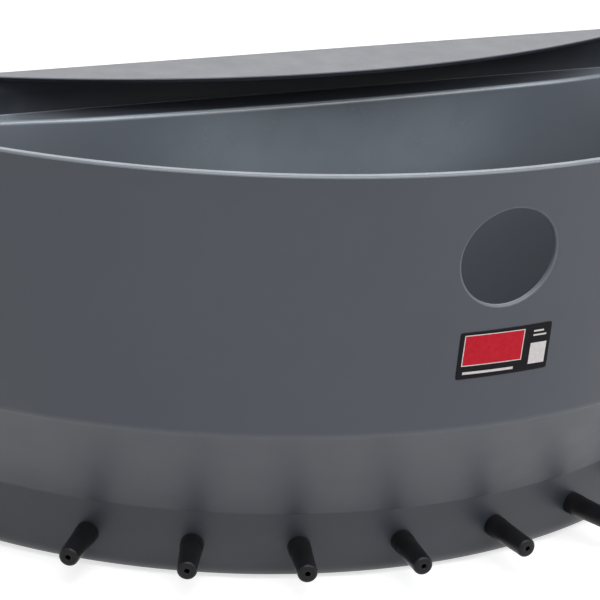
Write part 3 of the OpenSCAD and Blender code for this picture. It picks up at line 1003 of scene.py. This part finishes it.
for word, side in (("left", -1), ("right", 1)):
    hook = "hook_" + word
    dress(make_hook("hook_bar_" + word, side), STEEL, hook, hook)
    make_pad(side).piece("hook_pad_ribbed_" + word, PAD_RUBBER, hook, "pad_rubber", "hook_pad_" + word)
    bolts = turned_shell(bolt_profile(), side, NUT_Y - BOLT_PAST_NUT)
    bolts.piece("hook_bolts_domed_" + word, FASTENER, "tub", "fastener", "hook_bolts_" + word)
    washers = turned_shell(WASHER, side, NUT_Y)
    washers.piece("hook_washers_round_" + word, FASTENER, "tub", "fastener", "hook_washers_" + word)
    seals = turned_shell(SEAL, side, SEAL_Y)
    seals.piece("hook_seals_round_" + word, PAD_RUBBER, "tub", "pad_rubber", "hook_seals_" + word)
    make_nuts(side).piece("hook_nuts_chamfered_" + word, FASTENER, "tub", "fastener", "hook_nuts_" + word)


# Floor, light and camera

FLOOR_SIZE, FLOOR_Y, FLOOR_GAP, FLOOR_GLOW = 30.0, 4.0, 0.0005, 0.68
FLOOR_DARK, FLOOR_LIGHT = (0.52, 0.52, 0.52), (0.54, 0.54, 0.54)
WORLD_DIM, WORLD_SEEN = 0.28, 1.0
CAMERA_PLACE = (-1023.97, -2222.76, 1017.86)
CAMERA_YAW, CAMERA_PITCH, CAMERA_ROLL = math.radians(26.35), math.radians(20.9), math.radians(-3.27)
CAMERA_LENS, CAMERA_SENSOR = 150, 36


def seen_ray(tree):
    """One for rays that show the surroundings: camera, glossy and transmission rays."""
    paths = tree.nodes.new("ShaderNodeLightPath")
    total = paths.outputs["Is Camera Ray"]
    for name in ("Is Glossy Ray", "Is Transmission Ray"):
        node = tree.nodes.new("ShaderNodeMath")
        node.operation = "MAXIMUM"
        tree.links.new(total, node.inputs[0])
        tree.links.new(paths.outputs[name], node.inputs[1])
        total = node.outputs["Value"]
    return total


def make_floor():
    place = (0, FLOOR_Y, -SEAT_Z / 1000 - FLOOR_GAP)
    bpy.ops.mesh.primitive_grid_add(x_subdivisions=4, y_subdivisions=4, size=FLOOR_SIZE, location=place)
    floor = bpy.context.object
    floor.name = "floor"
    paint = Nodes("floor_paint")
    paint.colour(paint.ramp(paint.noise(scale=2.0), [(0.3, FLOOR_DARK), (0.7, FLOOR_LIGHT)]))
    paint.set(Roughness=0.9, Specular_IOR_Level=0.1)
    glow = paint.tree.nodes.new("ShaderNodeEmission")
    paint.link(paint.math("MULTIPLY", seen_ray(paint.tree), FLOOR_GLOW), glow.inputs["Strength"])
    both = paint.tree.nodes.new("ShaderNodeAddShader")
    paint.link(paint.shader.outputs["BSDF"], both.inputs[0])
    paint.link(glow.outputs["Emission"], both.inputs[1])
    paint.link(both.outputs["Shader"], paint.out.inputs["Surface"])
    floor.data.materials.append(paint.material)


def area_light(name, place, target, size, power):
    light = bpy.data.lights.new(name, "AREA")
    light.shape = "RECTANGLE"
    light.size, light.size_y = size
    light.energy = power
    lamp = bpy.data.objects.new(name, light)
    bpy.context.scene.collection.objects.link(lamp)
    lamp.location = place
    lamp.rotation_euler = (Vector(target) - Vector(place)).to_track_quat("-Z", "Y").to_euler()


def make_world():
    world = bpy.data.worlds.new("studio")
    bpy.context.scene.world = world
    world.use_nodes = True
    tree = world.node_tree
    tree.nodes.clear()
    mixer = tree.nodes.new("ShaderNodeMixShader")
    tree.links.new(seen_ray(tree), mixer.inputs["Fac"])
    for socket, strength in zip(mixer.inputs[1:], (WORLD_DIM, WORLD_SEEN)):
        sky = tree.nodes.new("ShaderNodeBackground")
        sky.inputs["Color"].default_value = (1, 1, 1, 1)
        sky.inputs["Strength"].default_value = strength
        tree.links.new(sky.outputs["Background"], socket)
    output = tree.nodes.new("ShaderNodeOutputWorld")
    tree.links.new(mixer.outputs["Shader"], output.inputs["Surface"])


def make_camera():
    yaw, pitch, roll = CAMERA_YAW, CAMERA_PITCH, CAMERA_ROLL
    ahead = Vector((math.sin(yaw) * math.cos(pitch), math.cos(yaw) * math.cos(pitch), -math.sin(pitch)))
    right = Vector((math.cos(yaw), -math.sin(yaw), 0))
    down = ahead.cross(right)
    tilted_right = math.cos(roll) * right + math.sin(roll) * down
    tilted_down = -math.sin(roll) * right + math.cos(roll) * down
    lens = bpy.data.cameras.new("camera")
    lens.lens = CAMERA_LENS
    lens.sensor_width = CAMERA_SENSOR
    camera = bpy.data.objects.new("camera", lens)
    bpy.context.scene.collection.objects.link(camera)
    turn = Matrix((tilted_right, -tilted_down, -ahead)).transposed().to_4x4()
    camera.matrix_world = Matrix.Translation(to_row([CAMERA_PLACE])[0]) @ turn
    bpy.context.scene.camera = camera


make_floor()
area_light("top_light", place=(-0.4, -1.5, 2.4), target=(0, -0.3, 0), size=(2.4, 1.6), power=80)
area_light("back_light", place=(0.9, 2.2, 1.5), target=(0, -0.2, 0), size=(2.6, 1.4), power=23)
area_light("right_light", place=(1.6, -2.2, 1.9), target=(0, -0.2, -0.1), size=(1.6, 1.6), power=36)
make_world()
make_camera()
bpy.context.scene.view_settings.view_transform = "Standard"
